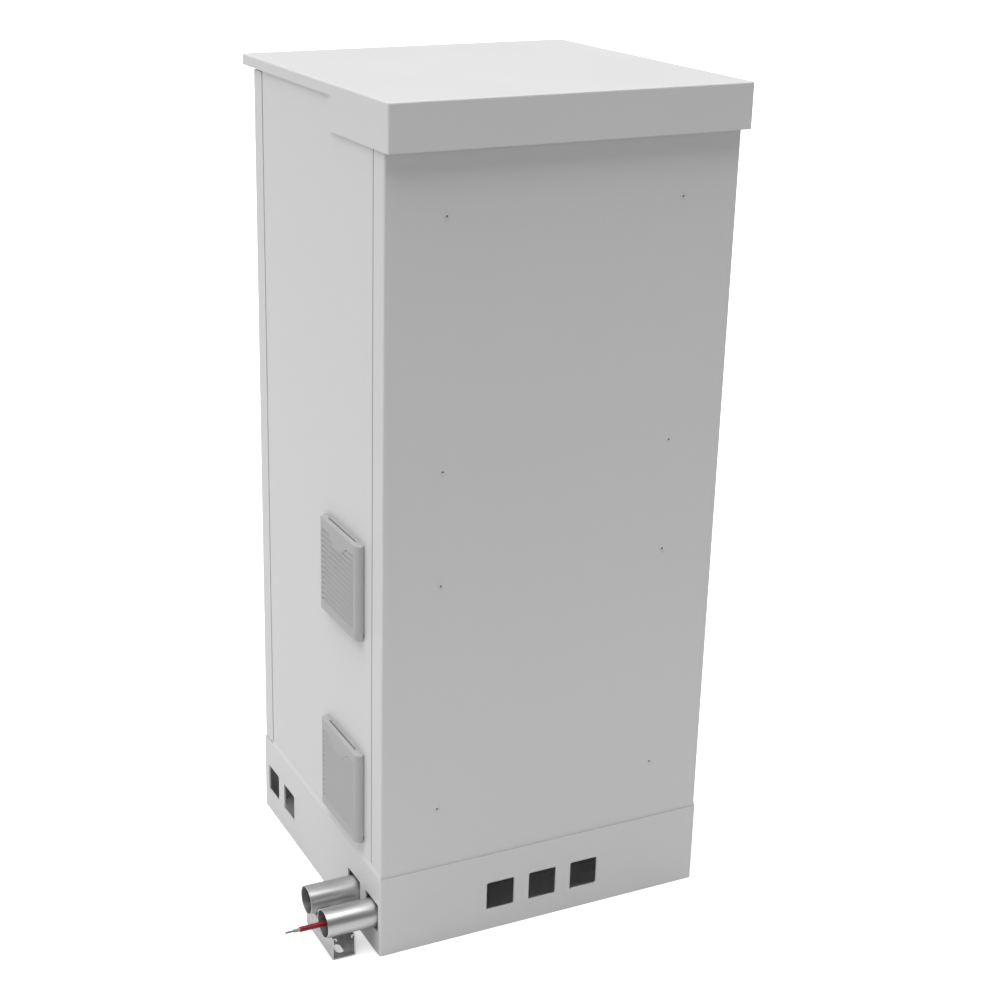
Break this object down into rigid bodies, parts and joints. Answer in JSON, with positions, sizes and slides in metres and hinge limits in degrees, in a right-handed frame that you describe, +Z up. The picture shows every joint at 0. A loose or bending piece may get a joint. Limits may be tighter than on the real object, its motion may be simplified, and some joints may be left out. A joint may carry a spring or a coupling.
{
  "type": "roadside utility cabinet",
  "caption": "light grey sheet steel roadside utility cabinet on a plinth, with a rain hood, louvred side filters, a hinged door and cable conduits",
  "frame": {"origin": "on the ground in the middle of the four floor bolt holes of the plinth", "axes": "+Z up, +Y to the closed rear, -Y to the door, +X to the side with the filters"},
  "size_m": [0.767, 0.604, 1.402],
  "materials": {
    "cabinet_paint": "light grey powder coat, fine texture",
    "zinc_steel": "galvanised steel",
    "conduit_steel": "bright drawn steel tube",
    "seal_rubber": "black foamed rubber",
    "black_plastic": "black moulded plastic",
    "filter_plastic": "grey moulded plastic",
    "filter_fleece": "white needle fleece",
    "lock_chrome": "plated lock barrel",
    "cable_red": "red cable sheath",
    "cable_pale": "grey core insulation",
    "cable_wire": "dull bare wire",
    "earth_copper": "bare copper bar",
    "earth_insulator": "red-brown insulating post"
  },
  "bodies": {
    "cabinet": {"plinth": "cabinet_paint", "base_plate": "zinc_steel", "rear_panel": "cabinet_paint", "left_panel": "cabinet_paint", "right_panel": "cabinet_paint", "seam_strips": "seal_rubber", "top_plate": "cabinet_paint", "front_frame": "cabinet_paint", "hood": "cabinet_paint", "hood_spacers": "zinc_steel", "hood_nuts": "zinc_steel", "rear_seam_bolts": "zinc_steel", "front_frame_bolts": "zinc_steel", "top_plate_bolts": "zinc_steel", "plinth_bolts": "zinc_steel", "hinge_frame_leaves": "zinc_steel", "hinge_pins": "zinc_steel", "lower_filter_frame": "filter_plastic", "lower_filter_mat": "filter_fleece", "upper_filter_frame": "filter_plastic", "upper_filter_mat": "filter_fleece", "fan_housing": "black_plastic", "fan_guard": "zinc_steel", "fan_screws": "zinc_steel", "lower_mounting_plate": "zinc_steel", "upper_mounting_plate": "zinc_steel", "plate_spacers": "zinc_steel", "plate_screws": "cabinet_paint", "plate_nuts": "zinc_steel", "front_conduit": "conduit_steel", "rear_conduit": "conduit_steel", "slotted_channel": "zinc_steel", "duct_bung": "seal_rubber", "cable_sheath": "cable_red", "cable_insulation": "cable_pale", "cable_core": "cable_wire", "cable_gland": "black_plastic", "gland_nut": "black_plastic", "blanking_plugs": "black_plastic", "earth_bar": "earth_copper", "earth_posts": "earth_insulator", "earth_screws": "zinc_steel"},
    "door": {"door": "cabinet_paint", "door_seal": "seal_rubber", "hinge_door_leaves": "zinc_steel", "handle_plate": "black_plastic", "handle_nut": "zinc_steel"},
    "handle": {"door_handle": "black_plastic", "latch_cam": "zinc_steel", "cam_nut": "zinc_steel"},
    "lock": {"lock_barrel": "lock_chrome"},
    "upper_cover": {"upper_filter_cover": "filter_plastic"},
    "lower_cover": {"lower_filter_cover": "filter_plastic"},
    "impeller": {"fan_impeller": "black_plastic"}
  },
  "joints": [
    {"name": "door_swing", "type": "hinge", "parent": "cabinet", "child": "door", "pos_m": [-0.307, -0.231, 0.7645], "axis": [0, 0, -1], "range_deg": [0, 120]},
    {"name": "handle_turn", "type": "hinge", "parent": "door", "child": "handle", "pos_m": [0.222, -0.276, 0.7665], "axis": [0, 1, 0], "range_deg": [0, 90]},
    {"name": "lock_turn", "type": "hinge", "parent": "handle", "child": "lock", "pos_m": [0.222, -0.2913, 0.7665], "axis": [0, 1, 0], "range_deg": [0, 90]},
    {"name": "upper_cover_tip", "type": "hinge", "parent": "cabinet", "child": "upper_cover", "pos_m": [0.3062, 0.122, 0.5474], "axis": [0, 1, 0], "range_deg": [0, 75]},
    {"name": "lower_cover_tip", "type": "hinge", "parent": "cabinet", "child": "lower_cover", "pos_m": [0.3062, 0.122, 0.1809], "axis": [0, 1, 0], "range_deg": [0, 75]},
    {"name": "fan_spin", "type": "hinge", "parent": "cabinet", "child": "impeller", "pos_m": [0.259, 0.122, 0.2565], "axis": [1, 0, 0], "continuous": true}
  ]
}
